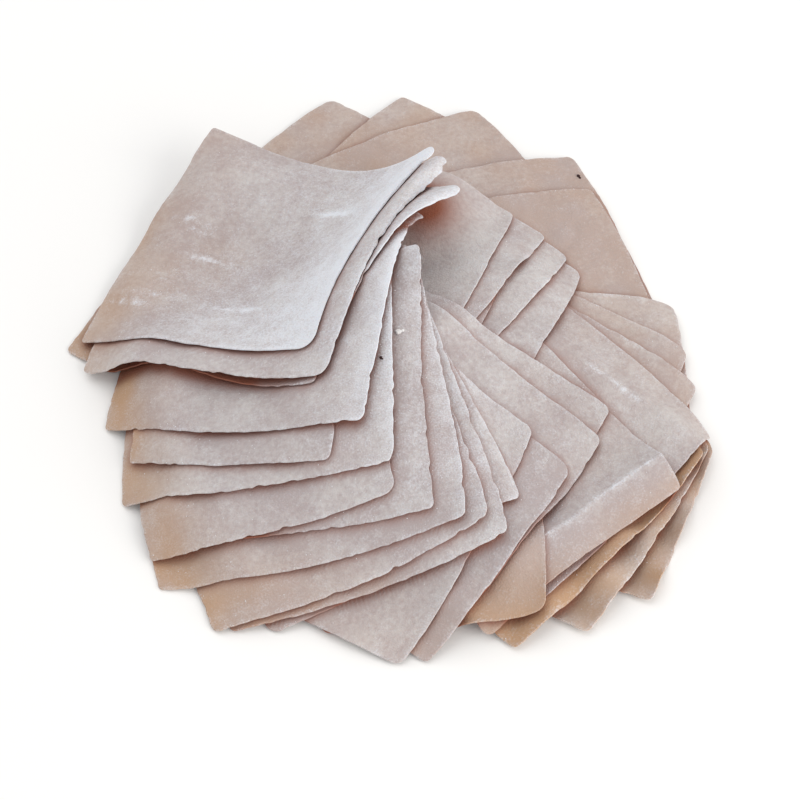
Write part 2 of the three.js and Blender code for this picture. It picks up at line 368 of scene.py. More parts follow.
def dough_mottle_and_shade():
    """The dough's colour: pale and deeper clouds, then painted warm shade in tan and darker painted shade
    from laps and the hollow.
    """
    takes = {"Vector": "NodeSocketVector"}
    takes.update({key: "NodeSocketFloat" for key in ("Warm_shade", "Tone", "Painted_shade")})
    takes.update({key: "NodeSocketColor" for key in ("Pale", "Deep", "Warm_shade_tan", "Lap_shade")})
    group, given, result = node_group("dough_mottle_and_shade", takes, {"Color": "NodeSocketColor"})
    broad = add_node(group, "ShaderNodeTexNoise", {"Scale": 48, "Detail": 7, "Roughness": 0.66})
    speck = add_node(group, "ShaderNodeTexNoise", {"Scale": 620, "Detail": 3, "Roughness": 0.6})
    spread = add_node(group, "ShaderNodeMath", {1: 0.7}, operation="MULTIPLY_ADD")
    toned = add_node(group, "ShaderNodeMath", operation="ADD")
    share = add_node(group, "ShaderNodeMapRange", {"From Min": 0.66, "From Max": 1.06})
    body = add_node(group, "ShaderNodeMix", data_type="RGBA")
    warm_shaded = add_node(group, "ShaderNodeMix", data_type="RGBA")
    deep_shade = add_node(group, "ShaderNodeMix", data_type="RGBA")
    link = group.links.new
    link(given.outputs["Vector"], broad.inputs["Vector"])
    link(given.outputs["Vector"], speck.inputs["Vector"])
    link(speck.outputs["Fac"], spread.inputs[0])
    link(broad.outputs["Fac"], spread.inputs[2])
    link(spread.outputs[0], toned.inputs[0])
    link(given.outputs["Tone"], toned.inputs[1])
    link(toned.outputs[0], share.inputs["Value"])
    link(share.outputs["Result"], body.inputs["Factor"])
    link(given.outputs["Pale"], body.inputs["A"])
    link(given.outputs["Deep"], body.inputs["B"])
    link(given.outputs["Warm_shade"], warm_shaded.inputs["Factor"])
    link(body.outputs["Result"], warm_shaded.inputs["A"])
    link(given.outputs["Warm_shade_tan"], warm_shaded.inputs["B"])
    link(given.outputs["Painted_shade"], deep_shade.inputs["Factor"])
    link(warm_shaded.outputs["Result"], deep_shade.inputs["A"])
    link(given.outputs["Lap_shade"], deep_shade.inputs["B"])
    link(deep_shade.outputs["Result"], result.inputs["Color"])
    return group


FLOUR_FILM = flour_film()
DOUGH_MOTTLE_AND_SHADE = dough_mottle_and_shade()
# The tan here is painted warm shade, and the lap colour is the brown of painted shade under laps and in the
# hollow.
DOUGH_COLOURS = {
    "Pale": linear(200, 194, 191),
    "Deep": linear(176, 163, 161),
    "Warm_shade_tan": linear(184, 149, 119),
    "Lap_shade": linear(142, 84, 63),
}
FLOUR_WHITE = linear(227, 229, 234)


def dough_material():
    """Raw wheat dough, matt and slightly translucent, under a film of flour."""
    material = bpy.data.materials.new("floured_dough")
    material.use_nodes = True
    tree = material.node_tree
    shader = tree.nodes["Principled BSDF"]
    shader.inputs["Specular IOR Level"].default_value = 0.2
    shader.inputs["Subsurface Weight"].default_value = 0.08
    shader.inputs["Subsurface Radius"].default_value = (1.0, 0.62, 0.45)
    shader.inputs["Subsurface Scale"].default_value = 1.2 * MM
    flat = add_node(tree, "ShaderNodeAttribute", attribute_name="flat")
    flour = add_node(tree, "ShaderNodeAttribute", attribute_name="flour")
    mottle = add_node(tree, "ShaderNodeGroup", node_tree=DOUGH_MOTTLE_AND_SHADE)
    film = add_node(tree, "ShaderNodeGroup", node_tree=FLOUR_FILM)
    colour = add_node(tree, "ShaderNodeMix", {"B": FLOUR_WHITE}, data_type="RGBA")
    rough = add_node(tree, "ShaderNodeMapRange", {"To Min": 0.68, "To Max": 0.95})
    bump = add_node(tree, "ShaderNodeBump", {"Strength": 0.9, "Distance": 0.3 * MM})
    link = tree.links.new
    for label, value in DOUGH_COLOURS.items():
        mottle.inputs[label].default_value = value
    # These values carry painted shade: the warm tan, the deeper tone beside laps, and the lap brown.
    for label in ("Warm_shade", "Tone", "Painted_shade"):
        read = add_node(tree, "ShaderNodeAttribute", attribute_name=label.lower())
        link(read.outputs["Fac"], mottle.inputs[label])
    link(flat.outputs["Vector"], mottle.inputs["Vector"])
    link(flat.outputs["Vector"], film.inputs["Vector"])
    link(flour.outputs["Fac"], film.inputs["Amount"])
    link(film.outputs["Mask"], colour.inputs["Factor"])
    link(mottle.outputs["Color"], colour.inputs["A"])
    link(colour.outputs["Result"], shader.inputs["Base Color"])
    link(film.outputs["Mask"], rough.inputs["Value"])
    link(rough.outputs["Result"], shader.inputs["Roughness"])
    link(film.outputs["Height"], bump.inputs["Height"])
    link(bump.outputs["Normal"], shader.inputs["Normal"])
    return material


DOUGH = dough_material()
wrappers = []


class Wrapper:
    """A sheet of dough while it is shaped: its points on the flat sheet, and what is added at each."""

    def __init__(self, node, pointing, net=None, tear=0.45, corner=3):
        self.node = node
        self.seed = 10 * len(wrappers) + 7
        self.net = net_of(node, pointing) if net is None else net
        self.side = np.linalg.norm(np.diff(self.net, axis=0), axis=-1).sum(0).mean()
        self.x, self.y = trimmed(self.side, np.broadcast_to(corner, 4) * MM, tear * MM, self.seed)
        self.shift = np.zeros((*self.x.shape, 3))
        self.height, self.flour, self.warm_shade, self.tone, self.deep_shade = np.zeros((5, *self.x.shape))

    def noise(self, size, step=0):
        """Smooth noise of this sheet's own."""
        return cloud(self.x, self.y, size, self.seed + step)

    def edge(self):
        """How far each point lies from the nearest edge."""
        across = np.minimum(self.x, self.side - self.x)
        return np.minimum(across, np.minimum(self.y, self.side - self.y))

    def placed(self):
        """The points in space, on a smooth surface through the net."""
        dense = split_net(spline_rows(CELLS + 1, np.linspace(0, CELLS, DENSE + 1)), self.net)
        across = np.clip(np.stack([self.x, self.y], -1) / self.side * DENSE, 0, DENSE)
        k = np.minimum(across.astype(int), DENSE - 1)
        part = across - k
        s, t = part[..., :1], part[..., 1:]
        i, j = k[..., 0], k[..., 1]
        near = dense[i, j] * (1 - s) + dense[i + 1, j] * s
        far = dense[i, j + 1] * (1 - s) + dense[i + 1, j + 1] * s
        return near * (1 - t) + far * t + self.shift

    def lay(self, wrinkle=0.12, warm_shade=0.3, tone=0.0, flour=0.1):
        """Lays the sheet on those below it and makes its piece, which replaces the plain solid."""
        edge = self.edge()
        points = self.placed()
        rise = self.height + RIPPLE * cloud(points[..., 0], points[..., 1], RIPPLE_SIZE, 3)
        rise += LIFT * np.clip(1 - edge / LIFT_REACH, 0, 1) ** 2 * (0.5 + 0.5 * self.noise(LIFT_SIZE, 3))
        crumpled = CRUMPLE * np.abs(self.noise(CRUMPLE_SIZE, 7))
        rise += wrinkle * MM * (np.abs(self.noise(WRINKLE_SIZE, 6)) + crumpled)
        points[..., 2] += rise
        self.points = lay_down(points)
        # Painted warm shade, in tan, where the sheet lies near the table, fading with height and broken into
        # patches.
        low = 1 - smooth_step(self.points[..., 2], WARM_SHADE_LOW, WARM_SHADE_HIGH)
        self.warm_shade = (self.warm_shade + warm_shade * low) * (WARM_SHADE_MEAN + WARM_SHADE_PATCHES * self.noise(WARM_SHADE_SIZE, 4))
        self.flour += flour + RIM_FLOUR * np.clip(1 - edge / RIM_BAND, 0, 1)
        shift = np.random.RandomState(self.seed).uniform(-1, 1, 3)
        self.tone += tone + TONE_CHANCE * shift[2]
        mesh = sheet_mesh(self.node + "_dough", self.points)
        flat = np.stack([self.x, self.y, 0 * self.x], -1)
        put_values(mesh, "flat", "FLOAT_VECTOR", all_round(flat) + shift)
        put_values(mesh, "warm_shade", "FLOAT", all_round(np.clip(self.warm_shade, 0, 1)))
        mesh.materials.append(DOUGH)
        self.piece = bpy.data.objects.new(self.node + "_dough", mesh)
        bpy.context.scene.collection.objects.link(self.piece)
        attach(self.piece, "root")
        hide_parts(self.node)
        wrappers.append(self)


# They are painted tan, as warm shade, where they lie low.
for k in range(5):
    wrapper = Wrapper(f"back_wrapper_{k + 1}", pointing=80, corner=(3, 3, 3, 2.5))
    wrapper.lay(wrinkle=0.5, warm_shade=0.48, tone=BACK_TONE[k], flour=0.04)

# Right side
# Three wrappers half hidden under the inner ones, their right edges showing as thin steps.
# The same floured dough, painted a little tan, as warm shade, where it lies low.
RIGHT_POINTING = (44, 284, 280)
for k in range(3):
    wrapper = Wrapper(f"right_wrapper_{k + 1}", pointing=RIGHT_POINTING[k])
    wrapper.lay(wrinkle=0.2, warm_shade=0.32, flour=0.08)

# Lower right
# Three wrappers whose free edges have curled into waves near the table, painted tan as warm shade.
# They were laid after the right side and before those that spread above them.
WAVE = 2.6 * MM
WAVE_REACH = 20 * MM
WAVE_SIZE = 11 * MM
WAVE_MEAN = 0.5
WAVE_SWING = 0.8
# Painted warm shade: tan laid all over each, most on the last.
LOW_RIGHT_WARM_SHADE = (0.5, 0.5, 1.2)
# Painted light: the middle one is made paler where it lies in the shadow of the creased wrapper's hanging
# edge.
LOW_RIGHT_PAINTED_LIGHT = (0, -0.2, 0)
for k in range(3):
    wrapper = Wrapper(f"low_right_wrapper_{k + 1}", pointing=282, tear=0.7)
    free = np.clip(1 - wrapper.edge() / WAVE_REACH, 0, 1) ** 1.5
    wrapper.height += WAVE * free * (WAVE_MEAN + WAVE_SWING * wrapper.noise(WAVE_SIZE, 8))
    wrapper.warm_shade += LOW_RIGHT_WARM_SHADE[k]
    wrapper.lay(warm_shade=0.5, tone=LOW_RIGHT_PAINTED_LIGHT[k], flour=0.1)

# Spread wrappers
# Three wide ones above the lower right. The middle one is creased along its front edge, which
# hangs down, and the crease has kept its flour; the hanging strip is painted tan and deeper as its
# shade. The last is painted tan, as warm shade, and more so towards its outer end.
CREASED_BOW = 3.5 * MM
FOLD_PLACE = 0.84
FOLD_RISE = 3.2 * MM
FOLD_REACH = 16 * MM
FOLD_WANDER = 1.6 * MM
FOLD_WANDER_SIZE = 13 * MM
FOLD_FLOUR = 0.6
FOLD_FLOUR_BAND = 0.6 * MM
FOLD_FLOUR_SIZE = 3 * MM
FOLD_FLOUR_MEAN = 0.65
FOLD_FLOUR_PATCHES = 0.45
# Painted shade on the strip that hangs before the fold: tan growing towards its edge, and a deeper tone.
FOLD_WARM_SHADE = 0.4
FOLD_SHADE = 0.16
FOLD_SHADE_REACH = 4 * MM
STREAK_MEAN = 0.6
STREAK_PATCHES = 0.6
STREAK_SIZE = 1.7 * MM
# Painted warm shade, in tan, rising towards a wrapper's outer end between these shares of its side.
WARM_SHADE_FROM = 0.6
WARM_SHADE_FULL = 1.05
SPREAD_WARM_SHADE = 0.3
SPREAD_OUTER_WARM_SHADE = 0.6
SPREAD_MARKS = ((0.15, 0.66, 1.2, 6, 0.65), (0.16, 0.55, 1, 5, 0.45))


def streak_flour(wrapper, marks):
    """Streaks of flour at shares of the side, each with its length and width in mm and its amount."""
    for across_x, across_y, long, wide, amount in marks:
        along = (wrapper.x - across_x * wrapper.side) / (long * MM)
        beside = (wrapper.y - across_y * wrapper.side) / (wide * MM)
        streak = np.exp(-np.hypot(along, beside) ** 2)
        wrapper.flour += amount * streak * (STREAK_MEAN + STREAK_PATCHES * wrapper.noise(STREAK_SIZE))


def crease(wrapper):
    """Bows the front edge in and raises a wandering fold behind it, floured on its line, with painted shade,
    tan and deeper, on the strip before it.
    """
    side = wrapper.side
    wrapper.y -= CREASED_BOW * (1 - (2 * wrapper.x / side - 1) ** 2) * (wrapper.y / side) ** 4
    front = side - FOLD_PLACE * side
    wander = FOLD_WANDER * cloud(wrapper.x, 0 * wrapper.x, FOLD_WANDER_SIZE, wrapper.seed)
    away = FOLD_PLACE * side + wander - wrapper.y
    behind = np.clip(1 - away / FOLD_REACH, 0, 1) ** 2
    wrapper.height += FOLD_RISE * np.where(away > 0, behind, 1 + away / front)
    line = np.exp(-np.abs(away) / FOLD_FLOUR_BAND)
    patches = FOLD_FLOUR_MEAN + FOLD_FLOUR_PATCHES * wrapper.noise(FOLD_FLOUR_SIZE)
    wrapper.flour += FOLD_FLOUR * line * patches
    wrapper.warm_shade += FOLD_WARM_SHADE * smooth_step(-away, 0, front)
    wrapper.tone += FOLD_SHADE * smooth_step(-away, 0, FOLD_SHADE_REACH)


def warm_shade_outer_end(wrapper, amount):
    """Paints warm shade, in tan, on a wrapper towards its outer edge."""
    wrapper.warm_shade += amount * smooth_step(wrapper.x / wrapper.side, WARM_SHADE_FROM, WARM_SHADE_FULL)


wrapper = Wrapper("spread_wrapper_1", pointing=275)
streak_flour(wrapper, SPREAD_MARKS)
wrapper.lay(warm_shade=0.25, tone=0.05, flour=0.1)
wrapper = Wrapper("spread_wrapper_2", pointing=275)
crease(wrapper)
wrapper.lay(warm_shade=0.35, tone=0.06, flour=0.1)
wrapper = Wrapper("spread_wrapper_3", pointing=318)
wrapper.warm_shade += SPREAD_WARM_SHADE
warm_shade_outer_end(wrapper, SPREAD_OUTER_WARM_SHADE)
wrapper.lay(warm_shade=0.3, tone=0.15, flour=0.04)

# Lower left
# Three smaller wrappers of the first turn, hidden under the left flank, which they hold up.
# The same floured dough, painted tan, as warm shade, where it lies near the table.
for k in range(3):
    Wrapper(f"low_left_wrapper_{k + 1}", pointing=228).lay(warm_shade=0.8)

# Inner wrappers
# Five smaller faces that show between the back fan and the lifted corners of the top.
# They lie high on the stack, so they are pale, with soft flour and hardly any painted warm shade.
# The last climbs under the top's corners. A brown spot painted in the hollow before them stands
# for the shade there, and the face is painted a little paler, with a broad faint patch of flour,
# as light where the corners shade it.
INNER_TONE = (0, 0, 0.05, 0)
CLIMB = 9 * MM
CLIMB_STARTS = (0.05, 0.45)
CLIMB_ENDS = (0.55, 0.75)
CLIMB_FADES = (0.1, 0.7)
# Painted shade: a brown spot where the hollow under the top's corners lies in shade.
HOLLOW_SHADE_PLACE = (0.45, 0.27)
HOLLOW_SHADE_REACH = 11.5 * MM
HOLLOW_SHADE_AMOUNT = 1.15
# A broad faint patch of flour, placed as painted light on the shaded part of the last face.
INNER_LIGHTENING_FLOUR = ((0.3, 0.52, 17, 17, 0.1),)


def climb_and_shade(wrapper):
    """Raises a wrapper's back edge in the middle and paints a spot of shade in the hollow before it."""
    across, down = wrapper.x / wrapper.side, wrapper.y / wrapper.side
    hub = smooth_step(across, *CLIMB_STARTS) * (1 - smooth_step(across, *CLIMB_ENDS))
    wrapper.height += CLIMB * hub * (1 - smooth_step(down, *CLIMB_FADES))
    away = np.hypot(across - HOLLOW_SHADE_PLACE[0], down - HOLLOW_SHADE_PLACE[1]) * wrapper.side / HOLLOW_SHADE_REACH
    wrapper.deep_shade += HOLLOW_SHADE_AMOUNT * np.exp(-away * away)


for k in range(4):
    Wrapper(f"inner_wrapper_{k + 1}", pointing=200).lay(warm_shade=0.1, tone=INNER_TONE[k], flour=0.12)
wrapper = Wrapper("inner_wrapper_5", pointing=200)
climb_and_shade(wrapper)
# Painted light: the flour patch and a paler tone lighten this face where the corners above shade it.
streak_flour(wrapper, INNER_LIGHTENING_FLOUR)
wrapper.lay(warm_shade=0.1, tone=-0.06, flour=0.1)

# Front fan
# Five wrappers fanned from the middle towards the front right, their long edges side by side.
# The flour lies thickest beside their inner edges; their low outer ends are painted tan as warm shade.
FRONT_WARM_SHADE = (0.35, 0.35, 0.35, 0.15, 0.2)
FRONT_TONE = (-0.02, 0.12, 0.12, -0.06, 0.0)
FRONT_FLOUR = (0.1, 0.1, 0.15, 0.25, 0.3)
FRONT_BAND = 14
OUTWARD_LOSS = 0.5


def flour_inner_edge(wrapper, amount, band):
    """Flour along the edge beside the hub, fading over a band given in mm, and outwards."""
    outward = 1 - OUTWARD_LOSS * wrapper.y / wrapper.side
    wrapper.flour += amount * np.exp(-wrapper.x / (band * MM)) * outward


for k in range(5):
    wrapper = Wrapper(f"front_wrapper_{k + 1}", pointing=273)
    flour_inner_edge(wrapper, FRONT_FLOUR[k], FRONT_BAND)
    wrapper.lay(warm_shade=FRONT_WARM_SHADE[k], tone=FRONT_TONE[k], flour=0.08)

# Left flank
# Eight wrappers that step down to the left, each covering most of the one below.
# Their inner strips, next to the hub, are white with flour and the upper three roll over there.
# Their low ends are painted tan, as warm shade.
LEFT_BOW = (0, 0, 0, 3.5, 0, 0, 0, 0)
LEFT_LIPS = {5: (2, 7, 60), 6: (2, 7, 60), 7: (5, 8, 60)}
LEFT_WARM_SHADE = (0.6, 0.6, 0.6, 0.6, 0.75, 0.6, 0.6, 0.9)
LEFT_TONE = (0.04, 0.04, 0.16, 0.1, 0.02, 0, 0.04, 0)
LEFT_FLOUR = (0.3, 0.3, 0.3, 0.35, 0.2, 0.65, 0.15, 0.8)
LEFT_BAND = (14, 14, 14, 14, 9, 9, 9, 9)
LIP_KEEPS = 0.3


def roll_lip(wrapper, drop, wide, long):
    """Rolls the inner edge down by a drop, over a width and a length from the corner, in mm."""
    down = np.clip(1 - wrapper.x / (wide * MM), 0, 1) ** 2
    wrapper.height -= drop * MM * down * (1 - smooth_step(wrapper.y, LIP_KEEPS * long * MM, long * MM))


for k in range(8):
    wrapper = Wrapper(f"left_wrapper_{k + 1}", pointing=226, corner=(5, 3, 2, 2), tear=0.9)
    bulge = 1 - (2 * wrapper.y / wrapper.side - 1) ** 2
    wrapper.x += LEFT_BOW[k] * MM * bulge * (1 - wrapper.x / wrapper.side) ** 4
    if k in LEFT_LIPS:
        roll_lip(wrapper, *LEFT_LIPS[k])
    warm_shade_outer_end(wrapper, LEFT_WARM_SHADE[k])
    flour_inner_edge(wrapper, LEFT_FLOUR[k], LEFT_BAND[k])
    wrapper.lay(warm_shade=0.45, tone=LEFT_TONE[k], flour=0.1)

# Top
# The last four, which lie together with their inner corners lifted off the middle of the stack.
# The corners are drawn out into blunt lips that roll down over each other, white with flour.
# The uppermost is dented by fingers near its front edge and streaked with flour.
NEAR = 1.3 * MM
DRAW_REACH = 75 * MM
DRAW_MOST = 6 * MM
TONGUE_REACH = 45 * MM
TOP_TONGUES = (4, 3, 6, 3)
TOP_SWAYS = ((2, -7, -2.5), (-1, -1, 0), (-2, -2, 0), (0, 0, 0))
TOP_LIPS = ((5, 7, 30), (5, 8, 60), (9, 9, 70), (4, 7, 75))
# Painted warm shade, in tan, towards the outer ends.
TOP_WARM_SHADE = (0.4, 0.4, 0.4, 0.3)
TOP_FLOUR = (0.55, 0.5, 0.45, 0.95)
TOP_BAND = (9, 9, 9, 27)
FRONT_FILM = 0.2
FRONT_FILM_STARTS = (0.35, 0.9)
FRONT_FILM_ENDS = (0.5, 0.95)
UPPERMOST_DENTS = (
    (0.9, 0.84, 7, 0.9), (0.4, 0.86, 9, 0.8), (0.65, 0.8, 6, 0.5),
    (0.84, 0.41, 3, -0.4), (0.71, 0.54, 3, -0.4), (0.88, 0.78, 3, -0.5),
)
UPPERMOST_MARKS = (
    (0.84, 0.41, 7, 1.2, 0.6), (0.71, 0.54, 8, 1.2, 0.55), (0.88, 0.79, 7, 1.4, 0.65),
    (0.3, 0.27, 8, 1.1, 0.6), (0.42, 0.77, 9, 1, 0.5), (0.78, 0.44, 6, 1, 0.45), (0.84, 0.74, 8, 1, 0.45),
)


def drawn_up(net, canopy):
    """A wrapper's net with its inner corner raised until it lies close under the one above it."""
    dense = split_net(linear_rows(CELLS + 1, DENSE // CELLS), canopy)
    above = np.full(relief.shape, -1.0)
    np.maximum.at(above, relief_cells(dense), dense[..., 2])
    fine = split_net(linear_rows(CELLS + 1, FINER), net)
    under = above[relief_cells(fine)]
    rise = np.clip(under - SHEET - NEAR - fine[..., 2], 0, DRAW_MOST)
    i, j = np.meshgrid(*[np.arange(n) for n in rise.shape], indexing="ij")
    far = (i + j) * np.linalg.norm(net[1, 0] - net[0, 0]) / FINER
    need = rise * (1 - smooth_step(far, DRAW_REACH / 2, DRAW_REACH))
    rise = need
    for _ in range(SOFTEN_STEPS):
        rise = np.where(under > 0, need, neighbour_mean(rise))
    raised = net.copy()
    raised[..., 2] += rise[::FINER, ::FINER]
    return raised


def stretch_corner(wrapper, tongue, sway):
    """Draws the inner corner out along its diagonal and sways it, both in mm."""
    out = wrapper.net[0, 0] - wrapper.net[1, 1]
    reach = tongue * out / np.linalg.norm(out) + np.array(sway)
    near = np.clip(1 - (wrapper.x + wrapper.y) / TONGUE_REACH, 0, 1) ** 2
    wrapper.shift += near[..., None] * reach * MM


def press_dents(wrapper, dents):
    """Soft dents at shares of the side, each with its reach and depth in mm."""
    for across_x, across_y, reach, depth in dents:
        along = wrapper.x - across_x * wrapper.side
        away = np.hypot(along, wrapper.y - across_y * wrapper.side) / (reach * MM)
        wrapper.height -= depth * MM * np.exp(-away * away)


top_nets = [net_of(f"top_wrapper_{k + 1}", 200) for k in range(4)]
for k in (2, 1, 0):
    top_nets[k] = drawn_up(top_nets[k], top_nets[k + 1])
for k in range(3):
    wrapper = Wrapper(f"top_wrapper_{k + 1}", pointing=200, net=top_nets[k], corner=(6, 5, 2, 2), tear=1.2)
    stretch_corner(wrapper, TOP_TONGUES[k], TOP_SWAYS[k])
    roll_lip(wrapper, *TOP_LIPS[k])
    warm_shade_outer_end(wrapper, TOP_WARM_SHADE[k])
    flour_inner_edge(wrapper, TOP_FLOUR[k], TOP_BAND[k])
    wrapper.lay(warm_shade=0.5, flour=0.12)
wrapper = Wrapper("top_wrapper_4", pointing=200, net=top_nets[3], corner=(5, 8, 2, 2))
stretch_corner(wrapper, TOP_TONGUES[3], TOP_SWAYS[3])
roll_lip(wrapper, *TOP_LIPS[3])
press_dents(wrapper, UPPERMOST_DENTS)
warm_shade_outer_end(wrapper, TOP_WARM_SHADE[3])
flour_inner_edge(wrapper, TOP_FLOUR[3], TOP_BAND[3])
across, down = wrapper.x / wrapper.side, wrapper.y / wrapper.side
film = FRONT_FILM * smooth_step(down, *FRONT_FILM_STARTS)
wrapper.flour += film * (1 - smooth_step(across, *FRONT_FILM_ENDS))
streak_flour(wrapper, UPPERMOST_MARKS)
wrapper.lay(warm_shade=0.4, tone=0.1, flour=0.03)

# Laps, painted shade
# Where one wrapper lies close under another its face is painted brown and bare of flour, as shade.
# Only a narrow strip of each lap shows, as a thin dark line of painted shade along the edge that
# covers it, and the dough beside it is painted a little deeper, as the soft shade there.
# The brown spot of painted shade in the hollow joins the lap brown here.
LAP_GAP = 0.45 * MM
OPEN_GAP = 7 * MM
LAP_SHADE_STEPS = 4
LAP_SHADE = 0.95
LAP_BARE = 0.5
BESIDE_SHADE_STEPS = 30
BESIDE_SHADE = 0.45


def spread_out(values, steps):
    """Values of a net, softened by the mean of their neighbours so many times."""
    for _ in range(steps):
        values = neighbour_mean(values)
    return values


def cover_above(wrapper):
    """How far above a wrapper's upper face the next one lies."""
    return relief[relief_cells(wrapper.points)] - wrapper.points[..., 2] - SHEET / 2


for wrapper in wrappers:
    over = cover_above(wrapper)
    # Painted shade: brown where the next wrapper lies close above, spread a little past its edge, with a
    # deeper tone beside it and less flour.
    painted_shade = smooth_step(over, LAP_GAP, 2 * LAP_GAP) * (1 - smooth_step(over, OPEN_GAP, 3 * OPEN_GAP))
    painted_shade = spread_out(painted_shade, LAP_SHADE_STEPS)
    deeper = wrapper.tone + BESIDE_SHADE * spread_out(painted_shade, BESIDE_SHADE_STEPS)
    brown = np.clip(LAP_SHADE * painted_shade + wrapper.deep_shade, 0, 1)
    dusted = wrapper.flour - LAP_BARE * painted_shade - wrapper.deep_shade
    put_values(wrapper.piece.data, "tone", "FLOAT", all_round(deeper))
    put_values(wrapper.piece.data, "painted_shade", "FLOAT", all_round(brown))
    put_values(wrapper.piece.data, "flour", "FLOAT", all_round(dusted))

# Loose flour
# Single grains and small clots of wheat flour, shaken over the stack while it was laid.
# They lie where they fell on the upper faces, thickest along the white strips beside the hub.
BARE_GAP = 0.12 * MM
GRAINS = 2.6e6
GRAIN_LEAST = 0.06 * MM
GRAIN_MOST = 0.2 * MM
GRAIN_SEED = 5


def flour_bed():
    """The upper faces of the wrappers that lie open, with the amount of flour on them."""
    places, faces, amounts = [], [], []
    count = FINE + 1
    number = np.arange(count * count).reshape(count, count)
    cell = np.stack([number[:-1, :-1], number[1:, :-1], number[1:, 1:], number[:-1, 1:]], -1)
    for wrapper in wrappers:
        bare = cover_above(wrapper) < BARE_GAP
        whole = bare[:-1, :-1] & bare[1:, :-1] & bare[1:, 1:] & bare[:-1, 1:]
        faces.append(cell[whole] + len(places) * count * count)
        places.append(wrapper.points.reshape(-1, 3) + np.array([0, 0, SHEET / 2]))
        amounts.append(np.clip(wrapper.flour - wrapper.deep_shade, 0, 1).ravel())
    mesh = bpy.data.meshes.new("flour_bed")
    mesh.from_pydata(np.concatenate(places).tolist(), [], np.concatenate(faces).tolist())
    put_values(mesh, "amount", "FLOAT", np.concatenate(amounts) ** 2)
    bed = bpy.data.objects.new("flour_bed", mesh)
    bpy.context.scene.collection.objects.link(bed)
    return bed


def flour_scatter():
    """Grains scattered over a surface by its own amount of flour, each turned and sized by chance."""
    group = bpy.data.node_groups.new("flour_scatter", "GeometryNodeTree")
    sockets = {"Geometry": "NodeSocketGeometry", "Density": "NodeSocketFloat", "Least": "NodeSocketFloat"}
    sockets.update({"Most": "NodeSocketFloat", "Seed": "NodeSocketInt", "Material": "NodeSocketMaterial"})
    for label, kind in sockets.items():
        group.interface.new_socket(label, in_out="INPUT", socket_type=kind)
    group.interface.new_socket("Geometry", in_out="OUTPUT", socket_type="NodeSocketGeometry")
    given = group.nodes.new("NodeGroupInput")
    result = group.nodes.new("NodeGroupOutput")
    amount = add_node(group, "GeometryNodeInputNamedAttribute", {"Name": "amount"}, data_type="FLOAT")
    thick = add_node(group, "ShaderNodeMath", operation="MULTIPLY")
    strew = add_node(group, "GeometryNodeDistributePointsOnFaces", distribute_method="RANDOM")
    grain = add_node(group, "GeometryNodeMeshIcoSphere", {"Radius": 1, "Subdivisions": 1})
    size = add_node(group, "FunctionNodeRandomValue", data_type="FLOAT")
    turn = add_node(group, "FunctionNodeRandomValue", data_type="FLOAT_VECTOR")
    turn.inputs["Max"].default_value = (math.tau, math.tau, math.tau)
    place = add_node(group, "GeometryNodeInstanceOnPoints")
    real = add_node(group, "GeometryNodeRealizeInstances")
    finish = add_node(group, "GeometryNodeSetMaterial")
    link = group.links.new
    link(given.outputs["Geometry"], strew.inputs["Mesh"])
    link(amount.outputs["Attribute"], thick.inputs[0])
    link(given.outputs["Density"], thick.inputs[1])
    link(thick.outputs[0], strew.inputs["Density"])
    link(given.outputs["Seed"], strew.inputs["Seed"])
    link(given.outputs["Seed"], size.inputs["Seed"])
    link(given.outputs["Least"], size.inputs[2])
    link(given.outputs["Most"], size.inputs[3])
    link(strew.outputs["Points"], place.inputs["Points"])
    link(grain.outputs["Mesh"], place.inputs["Instance"])
    link(size.outputs[1], place.inputs["Scale"])
    link(turn.outputs[0], place.inputs["Rotation"])
    link(place.outputs["Instances"], real.inputs["Geometry"])
    link(real.outputs["Geometry"], finish.inputs["Geometry"])
    link(given.outputs["Material"], finish.inputs["Material"])
    link(finish.outputs["Geometry"], result.inputs["Geometry"])
    return group


def plain_material(name, colour, roughness, shade, scale):
    """A matt finish without gloss, whose colour shifts a little from grain to grain."""
    material = bpy.data.materials.new(name)
    material.use_nodes = True
    tree = material.node_tree
    shader = tree.nodes["Principled BSDF"]
    shader.inputs["Roughness"].default_value = roughness
    shader.inputs["Specular IOR Level"].default_value = 0.2
    where = add_node(tree, "ShaderNodeTexCoord")
    noise = add_node(tree, "ShaderNodeTexNoise", {"Scale": scale, "Detail": 3})
    mixed = add_node(tree, "ShaderNodeMix", {"A": colour, "B": shade}, data_type="RGBA")
    tree.links.new(where.outputs["Object"], noise.inputs["Vector"])
    tree.links.new(noise.outputs["Fac"], mixed.inputs["Factor"])
    tree.links.new(mixed.outputs["Result"], shader.inputs["Base Color"])
    return material


def loose_piece(name, mesh):
    """A small loose thing on the stack as a piece of its own."""
    piece = bpy.data.objects.new(name, mesh)
    bpy.context.scene.collection.objects.link(piece)
    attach(piece, "root")


def loose_flour():
    """Turns the scattered grains into one plain piece."""
    bed = flour_bed()
    scatter = flour_scatter()
    modifier = bed.modifiers.new("scatter", "NODES")
    modifier.node_group = scatter
    flour = plain_material("loose_flour", FLOUR_WHITE, roughness=0.95, shade=linear(214, 210, 206), scale=900)
    values = {"Density": GRAINS, "Least": GRAIN_LEAST, "Most": GRAIN_MOST}
    values.update({"Seed": GRAIN_SEED, "Material": flour})
    for socket in scatter.interface.items_tree:
        if socket.in_out == "INPUT" and socket.name in values:
            modifier[socket.identifier] = values[socket.name]
    made = bed.evaluated_get(bpy.context.evaluated_depsgraph_get())
    mesh = bpy.data.meshes.new_from_object(made)
    bed.modifiers.remove(modifier)
    bpy.data.objects.remove(bed)
    mesh.name = "loose_flour"
    loose_piece("loose_flour", mesh)


loose_flour()

